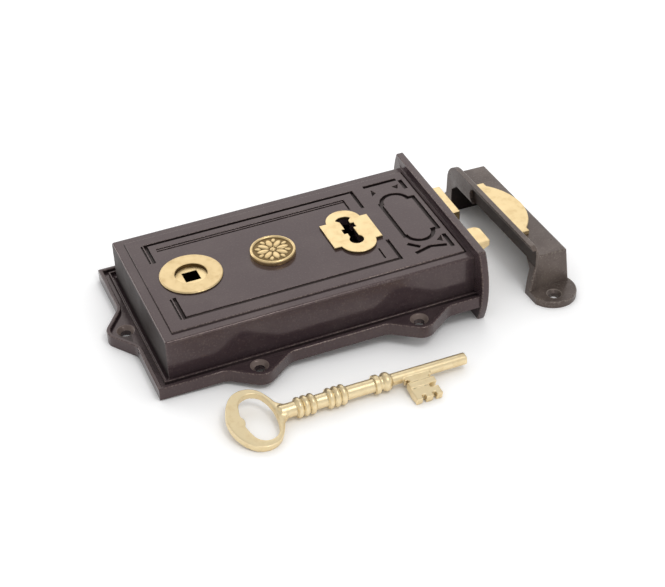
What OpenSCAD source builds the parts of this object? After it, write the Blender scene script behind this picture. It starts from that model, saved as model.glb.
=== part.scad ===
// Rim box lock with its keep and key.
// The lock's door face is the plane z = 0 and the origin is the middle of the case on that face.
// +X points to the forend, where the bolts come out. The keep and the key lie beside the lock on
// the surface that it rests on, which leans a little because the forend's lip reaches below z = 0.

/* [Case] */
// Length of the case, from its back end to the forend
case_l = 173; // [170:1:185]
// Width of the case
case_w = 96; // [95:1:104]
// Height of the case's top border above the door
case_h = 28.7; // [28:0.1:32]
// Thickness of the side walls
wall = 4; // [3.5:0.1:4.4]
// Thickness of the top wall
top_wall = 3.5; // [3:0.1:4]
// Width of the border round the raised top panel
border_w = 5.5; // [4:0.1:7]
// Width of that border at the forend
border_forend_w = 2.5; // [1.5:0.1:4]
// Height of the raised panel above its border
panel_raise = 0.9; // [0.5:0.1:1.2]

/* [Flange and lugs] */
// How far the flange stands out from the walls
flange_w = 8; // [7:0.1:8.5]
// Thickness of the flange's sunk channel
flange_t = 5; // [4.2:0.1:5.4]
// Width of the flange's raised rim
rim_w = 2.2; // [1.6:0.1:2.4]
// Height of the rim above the channel
rim_h = 2.1; // [1.2:0.1:2.4]
// Width of the thin ridge inside the rim
ridge_w = 0.8; // [0.5:0.1:1]
// Gap between the rim and that ridge
ridge_gap = 2.5; // [1.8:0.1:2.7]
// Distance of the lug holes from the case walls
lug_d = 9; // [8.8:0.1:10]
// Distance of the centre of a lug's round end from the case walls
lug_end_d = 11.2; // [10.6:0.1:12]
// Radius of a lug's round end
lug_r = 7.9; // [7:0.1:8]
// Half width of a lug at its root
lug_half = 17.8; // [16:0.1:19]
// Radius of the hollow curves beside a lug
lug_fillet = 8; // [6:0.5:10]
// Distance between the two lug holes on one long side
lug_pitch = 90.6; // [84:0.2:96]
// Middle of the lug holes along the case
lug_mid_x = 4.8; // [0:0.2:8]
// Radius of the screw holes
screw_r = 2.8; // [2.2:0.1:3]
// Radius of their countersinks
csk_r = 5; // [4.4:0.1:5.2]

/* [Forend] */
// Thickness of the forend plate
forend_t = 4.3; // [3.8:0.1:5]
// Height of the forend's top edge above the door
forend_top = 34.5; // [33.5:0.1:37]
// How far the forend's lip reaches past the door face
forend_drop = 10.4; // [8:0.1:12]
// Half length of the forend at its widest
forend_half = 58.6; // [57:0.1:62]
// Radius of the forend's bowed ends
forend_end_r = 52; // [46:1:54]

/* [Spindle] */
// Distance of the spindle from the case's back end
spindle_d = 30.1; // [29:0.1:32]
// Side of the square spindle hole
spindle_sq = 8.3; // [7:0.1:9]
// Outer radius of the brass collar
collar_r = 17.1; // [16:0.1:18]
// Height of the collar above the panel
collar_h = 1.2; // [1:0.1:1.8]
// Radius of the collar's spigot in the case
collar_spigot_r = 12; // [11:0.1:13]
// Radius of the follower's upper neck
neck_r = 8.7; // [8:0.1:9]
// Depth of the follower's face below the collar
neck_sink = 2; // [1:0.1:2.5]
// Radius of the follower's hub
hub_r = 9.5; // [9.3:0.1:10]
// Radius of the follower's lower neck
foot_r = 7; // [6.8:0.1:7.5]
// Outer radius of the bush in the cap plate
bush_r = 9.5; // [9:0.1:10.5]
// Reach of the follower's horn
horn_reach = 20; // [19.5:0.1:20.5]
// Width of the horn
horn_w = 6; // [5:0.1:6.5]
// Bearing clearance on the follower's necks
run_fit = 0.06; // [0.02:0.01:0.1]

/* [Medallion] */
// Distance of the medallion from the spindle
medal_d = 46.4; // [44:0.1:48]
// Radius of the medallion
medal_r = 12.4; // [11:0.1:13]
// Height of the medallion above the panel
medal_h = 3; // [2:0.1:4]
// Width of its raised rim
medal_rim = 1.7; // [1:0.1:2.5]
// Depth of its sunk field
medal_field = 0.9; // [0.5:0.1:1.2]
// Petals of its rosette
medal_petals = 8; // [6:1:10]
// Radius of its spigot in the case
medal_spigot_r = 3; // [2:0.1:4]

/* [Keyhole] */
// Distance of the keyhole from the forend's inner face
key_d = 51.4; // [50.5:0.1:53]
// Distance of the keyhole's round end from the case's middle line
key_off = 9.4; // [9:0.1:10]
// Radius of the keyhole's round end
key_hole_r = 3.9; // [3.7:0.05:4.2]
// Width of the keyhole's slot
slot_w = 5; // [4.8:0.1:5.4]
// Length of the slot from the pin's axis
slot_l = 22.4; // [21.6:0.1:23]
// Width of the slot's flared end
slot_flare_w = 8.4; // [7.4:0.1:9]
// Half width of the escutcheon
esc_half_w = 14; // [13:0.1:15]
// Half height of its straight sides
esc_half_h = 11.2; // [10:0.1:12]
// Radius of its lobes
esc_lobe_r = 10; // [9.4:0.1:10.6]
// Distance of the lobes' centres from its middle
esc_lobe_y = 10.2; // [9.6:0.1:10.8]
// Distance of the escutcheon's middle from the case's middle line
esc_off = 1.1; // [0:0.1:1.5]
// Thickness of the escutcheon
esc_t = 1.5; // [1:0.1:2]
// Radius of its two fixing spigots
esc_pin_r = 1.5; // [1.2:0.1:1.8]

/* [Top ornament] */
// Distance of the groove frame from the case's back end
frame_back = 15.5; // [14:0.1:18]
// Distance of the groove frame from the forend
frame_front = 36.1; // [35:0.1:37]
// Far side of the groove frame
frame_far_y = 35.2; // [34:0.1:37]
// Near side of the groove frame
frame_near_y = 33.6; // [33:0.1:36]
// Start of the frame's far corners
frame_gap_far = 19; // [17:0.5:21]
// Start of the frame's near corners
frame_gap_near = 16; // [15:0.5:19]
// Width of the main groove
groove_w = 1.8; // [1.2:0.1:2]
// Depth of the main groove
groove_d = 1.4; // [0.8:0.1:1.6]
// Width of the fine groove
fine_w = 0.9; // [0.6:0.1:1]
// Place of the fine groove across the case
fine_y = 29.6; // [28.5:0.1:30.5]
// Distance between the two fine grooves
fine_pitch = 1.8; // [1.6:0.1:2.2]
// Width of the cartouche's groove and of the strokes beside it
bold_w = 2.2; // [1.8:0.1:2.4]
// Distance of the small cartouche from the forend
cart_d = 16.2; // [15.5:0.1:17]
// Half width of the cartouche
cart_half_w = 9.9; // [9:0.1:10.2]
// Half height of its straight sides
cart_half_h = 16.5; // [15.5:0.1:17.5]
// Radius of its lobes
cart_lobe_r = 7.8; // [7.4:0.1:8.2]
// Distance of the lobes' centres from its middle
cart_lobe_y = 15.6; // [15:0.1:16]
// How far the lobes sit off its middle, away from the forend
cart_lobe_x = 1.2; // [0:0.1:1.6]

/* [Bolts] */
// Underside of both bolts above the door
bolt_z = 9; // [8.6:0.1:9.6]
// Thickness of both bolts
bolt_t = 11; // [10.4:0.1:12]
// Clearance of the bolts in the forend
bolt_gap = 0.35; // [0.2:0.05:0.5]
// Distance of the latch's middle from the case's middle line
latch_off = 20; // [19.6:0.1:20.6]
// Width of the latch
latch_w = 15; // [14:0.1:16]
// How far the latch stands out of the forend
latch_out = 15.7; // [15.2:0.1:16.4]
// Height of the latch's blunt front edge
latch_nose = 3.5; // [2.5:0.1:5]
// Radius of the latch's rounded front corner
latch_corner_r = 4; // [2:0.1:6]
// Distance of the dead bolt's middle from the case's middle line
dead_off = 18.2; // [17.8:0.1:18.8]
// Width of the dead bolt
dead_w = 27.4; // [26:0.1:28]
// How far the dead bolt stands out when thrown
dead_out = 13; // [12.5:0.1:14]
// Travel of the dead bolt
dead_travel = 12.5; // [11.5:0.1:12.8]
// Thickness of the steel tails
tail_t = 4.5; // [4:0.1:5]
// Width of the latch tail's bar
latch_bar_w = 6; // [5:0.1:6.4]
// Width of the dead bolt's tail
dead_tail_w = 12.5; // [12:0.1:13.5]
// Depth of the talon notch
talon_d = 5; // [4:0.1:5.4]
// Width of the talon notch
talon_w = 10; // [9:0.1:11]
// Radius of the rivets
rivet_r = 1.5; // [1.2:0.1:1.8]

/* [Cap plate] */
// Thickness of the cap plate
cap_t = 2.5; // [2:0.1:2.8]
// Width of the ledge that it lies on
cap_ledge = 2; // [1.5:0.1:2.4]
// Clearance round the cap plate
cap_gap = 0.15; // [0.1:0.05:0.3]
// Radius of the cap screws
cap_screw_r = 1.6; // [1.4:0.1:1.8]
// Radius of the cast bosses that take them
boss_r = 3.7; // [3.2:0.1:4]
// Distance of the bosses from the case's outer sides
boss_d = 6.5; // [6:0.1:6.8]
// Length of the cap screws
cap_screw_l = 12; // [8:0.5:14]

/* [Keep] */
// Gap between the forend and the keep
keep_gap = 31.4; // [28:0.2:40]
// Place of the keep's near end across the case
keep_across = -45; // [-50:0.5:-40]
// Turn of the keep on the surface, in degrees
keep_yaw = 2.4; // [0:0.1:4]
// Length of the keep's box
keep_l = 94; // [92:0.5:98]
// Thickness of the lip plate
lip_t = 3.4; // [3:0.1:3.8]
// Height of the lip plate
lip_h = 32; // [31:0.2:34]
// How far the lip plate runs past the box at its far end
lip_over = 4.5; // [3:0.1:6]
// Radius of the lip plate's near corner
lip_r = 5; // [3:0.1:7]
// Radius of its far corner
lip_far_r = 11; // [6:0.5:12]
// Height of the keep's box
keep_h = 26; // [25.4:0.1:27]
// Width of the box at its foot
keep_foot_w = 26; // [25:0.1:27]
// Width of the box at its top
keep_top_w = 22; // [21.5:0.1:23]
// Wall of the keep
keep_wall = 3.5; // [3:0.1:4]
// Wall at the keep's far end
keep_far_wall = 2; // [1.6:0.1:2.6]
// Height of the mouth that the bolts enter
mouth_h = 21; // [20:0.1:21.6]
// Slanted corner of the mouth
mouth_corner = 5; // [3:0.1:7]
// Depth of the hollow over the mouth
scoop_d = 2; // [1:0.1:2.2]
// Radius of the keep's screw lugs
keep_lug_r = 14.3; // [13.6:0.1:15]
// Thickness of the lugs
keep_lug_t = 4; // [3:0.1:5]
// Distance of the lug holes from the box's ends
keep_hole_d = 8; // [7.6:0.1:9.4]
// Distance of the lug holes from the lip's face
keep_hole_a = 11.5; // [10.5:0.1:13]
// Radius of the keep's screw holes
keep_screw_r = 2.5; // [2:0.1:2.8]
// Radius of their countersinks
keep_csk_r = 4.2; // [3.6:0.1:4.6]
// Thickness of the brass strike
strike_t = 3; // [2:0.1:3.5]
// Length of the strike
strike_l = 53; // [48:0.5:58]
// Middle of the strike from the keep's near end
strike_mid = 47; // [44:0.5:50]
// Width of the strike's ears
strike_ear_w = 6.5; // [6:0.1:8]
// Width of the strike at its middle
strike_w = 16.2; // [15:0.1:17]
// Radius of the strike's curved edge
strike_r = 32.3; // [29:0.1:40]

/* [Key] */
// Place of the key's bow end along the surface
key_along = 34.4; // [30:0.2:40]
// Distance of the key's bow end from the case wall
key_gap = 46.1; // [44:0.1:50]
// Turn of the key on the surface, in degrees
key_yaw = 2.9; // [0:0.1:4]
// Length of the key
key_l = 133.5; // [130:0.5:138]
// Length of the oval bow
bow_l = 28.8; // [27:0.2:30]
// Width of the bow
bow_w = 38.2; // [36:0.2:40]
// Thickness of the bow
bow_t = 4; // [3.4:0.1:4.6]
// Radius of the bow's narrow ends
bow_end_r = 11.5; // [10.5:0.1:12.5]
// Width of the bow's outer end
bow_end_w = 7.5; // [6.5:0.1:8.5]
// Width of the bow at the shank
bow_neck_w = 3.4; // [3:0.1:4]
// Width of the bow at its sides
bow_side_w = 3.8; // [3.2:0.1:4.6]
// Radius of the key's pin
pin_r = 3.25; // [3:0.05:3.5]
// Radius of the key's collars
ring_r = 5.5; // [5.2:0.1:6]
// Radius of a collar's bead
bead_r = 1.65; // [1.5:0.05:1.8]
// Distance of the first collar from the bow
collar_d = 9.1; // [8:0.1:10]
// Distance from one collar to the next
collar_pitch = 17.2; // [16:0.1:18]
// Radius of the shank behind the pin
shank_r = 3.7; // [3.5:0.1:3.8]
// Length of the plain shank between the collars and the disc
shank_l = 16.1; // [14:0.1:17]
// Length of the barrel that stops the key at the keyhole
barrel_l = 5.4; // [4.8:0.1:6]
// Width of the bit along the pin
bit_w = 15; // [14:0.2:16]
// Reach of the bit from the pin's axis
bit_reach = 18.4; // [18:0.1:19]
// Thickness of the bit
bit_t = 4.2; // [3.6:0.1:4.4]
// Distance of the bit from the pin's tip
bit_from_tip = 22.4; // [21:0.2:24]

/* [Hidden] */
$fn = 64;

// Overcut that keeps cuts clear of coplanar faces
eps = 0.5;
// Clearance of fixed spigots and rivets in their holes
seat_fit = 0.05;
// Clearance of sliding steel parts
slide_gap = 0.3;

// Places of the case
half_l = case_l / 2;
half_w = case_w / 2;
panel_z = case_h + panel_raise;
ceiling_z = case_h - top_wall;
inner_x0 = -half_l + wall;
inner_half_w = half_w - wall;
spindle_x = -half_l + spindle_d;
medal_x = spindle_x + medal_d;
key_x = half_l - key_d;
key_y = -key_off;
esc_y = -esc_off;
cart_x = half_l - cart_d;
frame_x0 = -half_l + frame_back;
frame_x1 = half_l - frame_front;
forend_x1 = half_l + forend_t;
forend_mid_z = (forend_top - forend_drop) / 2;
lug_out = lug_end_d - flange_w;
lug_xs = [lug_mid_x - lug_pitch / 2, lug_mid_x + lug_pitch / 2];
lug_holes = [
    [lug_xs[0], -half_w - lug_d], [lug_xs[1], -half_w - lug_d],
    [lug_xs[0], half_w + lug_d], [lug_xs[1], half_w + lug_d],
    [-half_l - lug_d, 0]
];
esc_pin_x = esc_half_w - 4;
esc_pin_l = 2.4;
notch_near = 6.9;
notch_far = 11;
notch_l = 4.2;

// The surface touches the back lug's tip and the forend's lip
rest_x = -half_l - lug_end_d - lug_r;
lean = atan2(forend_drop, forend_x1 - rest_x);

// Tails, in the layer between the bolts' two faces
tail_z = bolt_z + 3;
tail_top = tail_z + tail_t;
bolt_top = bolt_z + bolt_t;
low_top = tail_z - slide_gap;

// Latch
latch_x0 = half_l - 15;
latch_x1 = forend_x1 + latch_out;
latch_y0 = -latch_off - latch_w / 2;
latch_y1 = -latch_off + latch_w / 2;
bar_y0 = -inner_half_w + 7;
bar_y1 = bar_y0 + latch_bar_w;
arm_w = 5.5;
arm_x1 = spindle_x - horn_w / 2 - slide_gap;
arm_x0 = arm_x1 - arm_w;
arm_y1 = -hub_r - 1;
riser_x1 = half_l - 1;
toe_l = 5.5;
toe_z = cap_t + 1.5;
latch_rivet_spots = [[latch_x0 + 7, -latch_off - 4], [latch_x0 + 7, -latch_off + 4]];
guide_x = medal_x;
guide_w = 12;
guide_t = 2;
leaf_t = 0.8;
leaf_w = 6;
post_r = 2;
latch_post_x = inner_x0 + 3.5;
latch_post_y = bar_y0 + 4;

// Dead bolt
dead_x0 = half_l - 23;
dead_x1 = forend_x1 + dead_out;
dead_y0 = dead_off - dead_w / 2;
dead_y1 = dead_off + dead_w / 2;
tail_behind_key = 40;
dead_tail_x0 = key_x - tail_behind_key;
dead_tail_x1 = dead_x0 + 11.5;
talon_bite = 1.5;
dead_tail_y0 = key_y + bit_reach - talon_bite;
dead_tail_y1 = dead_tail_y0 + dead_tail_w;
talon_x = key_x + dead_travel / 2;
stud_r = 2;
stud_head_r = 3.4;
stud_x = dead_tail_x0 + 7;
stud_y = dead_tail_y0 + 7;
detent_x = key_x - 15;
detent_d = 1.6;
detent_w = 2.6;
detent_leaf_l = 32;
detent_nose_l = 8;
detent_heel_l = 5;
detent_post_x = detent_x - detent_leaf_l;
detent_post_y = dead_tail_y1 + 7;
dead_rivet_spots = [[dead_x0 + 6, dead_tail_y0 + 3.5], [dead_x0 + 6, dead_tail_y1 - 3.5]];
ward_r = 12.2;
ward_t = 1.2;
ward_h = 2.5;

// Cap plate
cap_x0 = inner_x0 - cap_ledge;
cap_half_w = inner_half_w + cap_ledge;
bosses = [for (x = [-1, 1]) for (y = [-1, 1]) [x * (half_l - boss_d), y * (half_w - boss_d)]];
cap_head_r = 3.2;

// Keep
keep_along = (forend_x1 - rest_x) / cos(lean) + keep_gap;
lip_near = 1;
lip_b1 = keep_l + lip_over;
lip_band = 1.9;
scoop_h = lip_h - mouth_h - lip_band;
scoop_b0 = -lip_near - eps;
scoop_b1 = 71.3;
post_foot = 3;
strike_a = lip_t + seat_fit;
strike_rivet_a = lip_t + 5;
strike_rivet_bs = [strike_mid - 18, strike_mid + 18];

// Key, from its bow end along its axis
bead_pitch = 2 * bead_r + 0.3;
bead_at = ring_r - bead_r;
collar1_x = bow_l + collar_d;
collar2_x = collar1_x + collar_pitch;
shank_x0 = collar2_x + 2 * bead_pitch + bead_r;
shank_x1 = shank_x0 + shank_l;
disc_l = 2.8;
disc_r = ring_r - 0.4;
neck_x = bow_l - 1.5;
barrel_gap = 1.6;
barrel_x = shank_x1 + disc_l + barrel_gap + barrel_l / 2;
hole_l = bow_l - bow_end_w - bow_neck_w;
hole_half_w = bow_w / 2 - bow_side_w;
hole_end_r = 7.4;
bow_lobe_r = 4;
bow_lobe_x = bow_end_w + 1.4 - bow_lobe_r;
yoke_half = 7;
yoke_x1 = bow_l + 2.4;
rib_t = 0.8;
bit_x1 = key_l - bit_from_tip;
bit_x0 = bit_x1 - bit_w;
key_roll = asin((ring_r - bow_t / 2) / (bow_w / 2));

// Colours
iron = [0.36, 0.34, 0.33];
brass = [0.93, 0.82, 0.58];
steel = [0.62, 0.63, 0.65];

// Shared shapes

module box_between(a, b) {
    translate(a) cube(b - a);
}

// Puts a piece on the surface that the lock rests on
module on_surface(along, across, yaw) {
    translate([rest_x, 0, 0])
        rotate([0, lean, 0])
            translate([along, across, 0])
                rotate([0, 0, yaw]) children();
}

// Upright hole with a countersink that opens at a face
module countersunk_hole(r, head_r, face_z) {
    translate([0, 0, -eps]) cylinder(r = r, h = face_z + 2 * eps);
    translate([0, 0, face_z - (head_r - r)]) cylinder(r1 = r, r2 = head_r, h = head_r - r);
    translate([0, 0, face_z]) cylinder(r = head_r, h = rim_h + eps);
}

// Screw lug outline, drawn inwards by i, with its root on the line y = 0. Its straight flanks run from
// hollow curves to the round end, a hair deeper than tangent, so that all these lines cross.
module lug_2d(i) {
    deeper = 0.04;
    flank = atan2(lug_out, lug_half) + asin(lug_r / norm([lug_half, lug_out]));
    outwards = [sin(flank), cos(flank)];
    hollow = [lug_half + lug_fillet * tan(flank / 2), lug_fillet];
    root = hollow - (lug_fillet + i) * outwards;
    touch = [0, lug_out] + (lug_r - i - deeper) * outwards;
    translate([0, lug_out]) circle(r = lug_r - i);
    difference() {
        polygon([
            [-hollow[0], -i - eps], [hollow[0], -i - eps], [hollow[0], -i], root,
            touch, [-touch[0], touch[1]], [-root[0], root[1]], [-hollow[0], -i]
        ]);
        for (s = [-1, 1]) translate([s * hollow[0], hollow[1]]) circle(r = lug_fillet + i + deeper);
    }
}

// Flange outline with all its lugs, drawn inwards by i
module flange_2d(i) {
    edge = flange_w - i;
    translate([-half_l - edge, -half_w - edge]) square([case_l + edge, case_w + 2 * edge]);
    for (x = lug_xs) {
        translate([x, half_w + flange_w]) lug_2d(i);
        translate([x, -half_w - flange_w]) mirror([0, 1]) lug_2d(i);
    }
    translate([-half_l - flange_w, 0]) rotate(90) lug_2d(i);
}

// Border of the flange without its lugs, drawn inwards by i and open at the forend
module flange_plain_2d(i) {
    edge = flange_w - i;
    translate([-half_l - edge, -half_w - edge]) square([case_l + edge, case_w + 2 * edge]);
}

// Straight-sided plate with a lobe at each end, drawn outwards by i
module lobed_2d(half_width, half_height, lobe_r, lobe_x, lobe_y, i) {
    translate([-half_width - i, -half_height - i]) square(2 * [half_width + i, half_height + i]);
    for (s = [-1, 1]) translate([lobe_x, s * lobe_y]) circle(r = lobe_r + i);
}

// Keyhole about the pin's axis, drawn outwards by i
module keyhole_2d(i) {
    half = slot_w / 2;
    flare = slot_flare_w / 2;
    flare_l = 4.4;
    flare_side = 2.6;
    arch_r = flare + 1;
    notch_out = 1.9;
    circle(r = key_hole_r + i);
    translate([-half - i, 0]) square([slot_w + 2 * i, slot_l - flare_side]);
    intersection() {
        translate([0, slot_l - arch_r]) circle(r = arch_r + i);
        polygon([
            [-half - i, slot_l - flare_l], [half + i, slot_l - flare_l],
            [flare + i, slot_l - flare_side], [flare + i, slot_l + 1],
            [-flare - i, slot_l + 1], [-flare - i, slot_l - flare_side]
        ]);
    }
    translate([-half - notch_out - i, notch_near - i]) square([slot_w, notch_l + 2 * i]);
    translate([notch_out - half + i, notch_far - i]) square([slot_w, notch_l + 2 * i]);
}

module at_keyhole() {
    translate([key_x, key_y, 0]) children();
}

// Straight groove in the top panel between two corners of its middle line
module groove(a, b, w, d) {
    low = [min(a[0], b[0]) - w / 2, min(a[1], b[1]) - w / 2];
    high = [max(a[0], b[0]) + w / 2, max(a[1], b[1]) + w / 2];
    box_between([low[0], low[1], panel_z - d], [high[0], high[1], panel_z + eps]);
}

// Frame with broken short sides and the fine lines beside it
module frame_grooves() {
    fine_d = groove_d * 0.7;
    fine_x0 = frame_x0 + 5;
    fine_x1 = frame_x1 - 7.4;
    edge_x = frame_x0 - groove_w / 2 - 1.2;
    for (y = [frame_far_y, -frame_near_y])
        groove([frame_x0, y], [frame_x1, y], groove_w, groove_d);
    for (x = [frame_x0, frame_x1]) {
        groove([x, frame_far_y], [x, frame_gap_far], groove_w, groove_d);
        groove([x, -frame_near_y], [x, -frame_gap_near], groove_w, groove_d);
    }
    groove([edge_x, frame_far_y], [edge_x, frame_gap_far], fine_w, fine_d);
    groove([edge_x, -frame_near_y], [edge_x, -frame_gap_near], fine_w, fine_d);
    for (k = [0, 1])
        groove([fine_x0, fine_y - k * fine_pitch], [fine_x1, fine_y - k * fine_pitch], fine_w, fine_d);
    groove([fine_x1, fine_y], [fine_x1, frame_gap_far + 1], fine_w, fine_d);
    groove([fine_x1, -fine_y], [fine_x1, -frame_gap_far - 2], fine_w, fine_d);
}

// Narrow channel where the raised panel meets its border at the forend
module forend_channel() {
    x = half_l - border_forend_w;
    y = half_w - border_w;
    box_between([x, -y, case_h - fine_w], [x + fine_w, y, case_h + eps]);
}

// Straight stroke between two points of its middle line
module stroke_2d(a, b) {
    run = b - a;
    translate(a) rotate(atan2(run[1], run[0])) translate([0, -bold_w / 2]) square([norm(run), bold_w]);
}

// Cartouche outline and the corner motifs beside it, about the cartouche's middle
module cartouche_grooves() translate([cart_x, 0, panel_z - groove_d]) linear_extrude(groove_d + eps) {
    kink = [-1.1, -30.4];
    difference() {
        lobed_2d(cart_half_w, cart_half_h, cart_lobe_r, -cart_lobe_x, cart_lobe_y, bold_w / 2);
        lobed_2d(cart_half_w, cart_half_h, cart_lobe_r, -cart_lobe_x, cart_lobe_y, -bold_w / 2);
    }
    // Far side: a bar, an upright and two small triangles
    stroke_2d([-12, 36.2], [8, 36.2]);
    stroke_2d([9.8, 34.6], [9.8, 25.5]);
    polygon([[-9.3, 32], [-7.5, 28.4], [-10.6, 26.2]]);
    polygon([[3, 30.4], [7, 31], [5.2, 27.2]]);
    // Near side: a kinked bar, a slanting stroke, an upright and a triangle
    stroke_2d([-10.8, -33], kink);
    stroke_2d(kink, [7.4, -32.8]);
    stroke_2d([-11.6, -23.4], [-6.4, -28.6]);
    stroke_2d([10, -23], [10, -35.4]);
    polygon([[4.4, -26.7], [8.2, -23.4], [7, -29]]);
}

// Plate with bowed ends
module forend_plate() {
    side = forend_half - forend_end_r;
    translate([half_l, 0, 0])
        rotate([90, 0, 90])
            linear_extrude(forend_t)
                intersection() {
                    union() {
                        for (s = [-1, 1])
                            translate([s * side, forend_mid_z]) circle(r = forend_end_r, $fn = 128);
                    }
                    translate([-case_w, -forend_drop]) square([2 * case_w, forend_top + forend_drop]);
                }
}

// Opening of the forend for a bolt
module bolt_opening(y0, y1) {
    box_between(
        [half_l - eps, y0 - bolt_gap, bolt_z - bolt_gap],
        [forend_x1 + eps, y1 + bolt_gap, bolt_top + bolt_gap]
    );
}

module rivets_at(spots, z0, z1) {
    for (p = spots) translate([p[0], p[1], z0]) cylinder(r = rivet_r, h = z1 - z0, $fn = 32);
}

module rivet_holes_at(spots, z0, z1) {
    for (p = spots)
        translate([p[0], p[1], z0 - eps])
            cylinder(r = rivet_r + seat_fit, h = z1 - z0 + 2 * eps, $fn = 32);
}

// Lock, fixed pieces

// One casting: box, flange, lugs and forend
module lock_case() color(iron) difference() {
    ridge_in = rim_w + ridge_gap;
    union() {
        box_between([-half_l, -half_w, 0], [half_l, half_w, case_h]);
        box_between(
            [-half_l + border_w, -half_w + border_w, case_h - eps],
            [half_l - border_forend_w, half_w - border_w, panel_z]
        );
        linear_extrude(flange_t) flange_2d(0);
        linear_extrude(flange_t + rim_h) difference() {
            flange_2d(0);
            flange_2d(rim_w);
        }
        linear_extrude(flange_t + rim_h - 0.2) difference() {
            flange_plain_2d(ridge_in);
            flange_plain_2d(ridge_in + ridge_w);
        }
        forend_plate();
    }
    difference() {
        box_between([inner_x0, -inner_half_w, -eps], [half_l, inner_half_w, ceiling_z]);
        for (p = bosses) translate([p[0], p[1], cap_t]) cylinder(r = boss_r, h = case_h);
    }
    box_between([cap_x0, -cap_half_w, -eps], [half_l, cap_half_w, cap_t]);
    for (p = bosses)
        translate([p[0], p[1], 0]) cylinder(r = cap_screw_r + seat_fit, h = cap_screw_l + eps, $fn = 32);
    for (p = lug_holes) translate([p[0], p[1], 0]) countersunk_hole(screw_r, csk_r, flange_t);
    translate([spindle_x, 0, ceiling_z - eps]) cylinder(r = collar_spigot_r + seat_fit, h = case_h);
    translate([medal_x, 0, ceiling_z - eps]) cylinder(r = medal_spigot_r + seat_fit, h = case_h, $fn = 32);
    at_keyhole() translate([0, 0, ceiling_z - eps]) linear_extrude(case_h) keyhole_2d(0.4);
    for (s = [-1, 1])
        translate([key_x + s * esc_pin_x, esc_y, panel_z - esc_pin_l - seat_fit])
            cylinder(r = esc_pin_r + seat_fit, h = case_h, $fn = 32);
    frame_grooves();
    cartouche_grooves();
    forend_channel();
    bolt_opening(latch_y0, latch_y1);
    bolt_opening(dead_y0, dead_y1);
}

// Flat plate that closes the case on the door side
module cap_plate() color(steel) difference() {
    box_between(
        [cap_x0 + cap_gap, -cap_half_w + cap_gap, 0],
        [half_l - cap_gap, cap_half_w - cap_gap, cap_t]
    );
    translate([spindle_x, 0, -eps]) cylinder(r = bush_r + seat_fit, h = cap_t + 2 * eps);
    at_keyhole() translate([0, 0, -eps]) linear_extrude(cap_t + 2 * eps) keyhole_2d(0.4);
    for (p = bosses) translate([p[0], p[1], 0]) {
        sink_d = cap_head_r - cap_screw_r;
        translate([0, 0, -eps]) cylinder(r = cap_screw_r + seat_fit, h = cap_t + 2 * eps, $fn = 32);
        cylinder(r1 = cap_head_r, r2 = cap_screw_r, h = sink_d, $fn = 32);
    }
}

// Countersunk screws with a slot, driven from the door side
module cap_screws() color(steel) for (p = bosses) translate([p[0], p[1], 0]) difference() {
    head_r = cap_head_r - 2 * seat_fit;
    union() {
        translate([0, 0, seat_fit]) cylinder(r = cap_screw_r, h = cap_screw_l - seat_fit, $fn = 32);
        translate([0, 0, seat_fit])
            cylinder(r1 = head_r, r2 = cap_screw_r, h = head_r - cap_screw_r, $fn = 32);
    }
    translate([-cap_head_r, -0.4, -eps]) cube([2 * cap_head_r, 0.8, 0.7 + eps]);
}

// Raised ring that the follower's neck turns in
module spindle_collar() color(brass) translate([spindle_x, 0, 0]) difference() {
    edge = 0.5;
    union() {
        translate([0, 0, ceiling_z]) cylinder(r = collar_spigot_r, h = panel_z - ceiling_z + eps);
        translate([0, 0, panel_z]) cylinder(r = collar_r, h = collar_h - edge, $fn = 96);
        translate([0, 0, panel_z + collar_h - edge])
            cylinder(r1 = collar_r, r2 = collar_r - edge, h = edge, $fn = 96);
    }
    translate([0, 0, ceiling_z - eps]) cylinder(r = neck_r + run_fit, h = case_h);
}

// Bush that carries the follower's lower neck
module back_bush() color(brass) translate([spindle_x, 0, 0]) difference() {
    cylinder(r = bush_r, h = cap_t);
    translate([0, 0, -eps]) cylinder(r = foot_r + run_fit, h = cap_t + 2 * eps);
}

// Disc with a raised rim and a rosette in its sunk field
module medallion() color(brass) translate([medal_x, 0, 0]) {
    field_z = panel_z + medal_h - medal_field;
    field_r = medal_r - medal_rim;
    petal_at = field_r * 0.62;
    petal_r = petal_at * sin(180 / medal_petals) * 0.86;
    difference() {
        union() {
            translate([0, 0, ceiling_z])
                cylinder(r = medal_spigot_r, h = panel_z - ceiling_z + eps, $fn = 32);
            translate([0, 0, panel_z]) cylinder(r = medal_r, h = medal_h, $fn = 96);
        }
        translate([0, 0, field_z]) cylinder(r = field_r, h = medal_field + eps, $fn = 96);
    }
    for (k = [0 : medal_petals - 1])
        rotate(k * 360 / medal_petals)
            translate([petal_at, 0, field_z - eps])
                cylinder(r = petal_r, h = medal_field * 0.7 + eps, $fn = 32);
    translate([0, 0, field_z - eps]) cylinder(r = field_r * 0.26, h = medal_field * 0.9 + eps, $fn = 32);
}

// Lobed keyhole plate with two fixing spigots
module escutcheon() color(brass) {
    difference() {
        translate([key_x, esc_y, panel_z])
            linear_extrude(esc_t) lobed_2d(esc_half_w, esc_half_h, esc_lobe_r, 0, esc_lobe_y, 0);
        at_keyhole() translate([0, 0, panel_z - eps]) linear_extrude(esc_t + 2 * eps) keyhole_2d(0);
    }
    for (s = [-1, 1])
        translate([key_x + s * esc_pin_x, esc_y, panel_z - esc_pin_l])
            cylinder(r = esc_pin_r, h = esc_pin_l + eps, $fn = 32);
}

// Closed staple that the latch tail's bar runs through
module latch_guide() color(steel) difference() {
    y0 = bar_y0 - slide_gap;
    y1 = bar_y1 + slide_gap;
    box_between(
        [guide_x - guide_w / 2, y0 - guide_t, cap_t],
        [guide_x + guide_w / 2, y1 + guide_t, tail_top + slide_gap + guide_t]
    );
    box_between(
        [guide_x - guide_w, y0, low_top],
        [guide_x + guide_w, y1, tail_top + slide_gap]
    );
}

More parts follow.
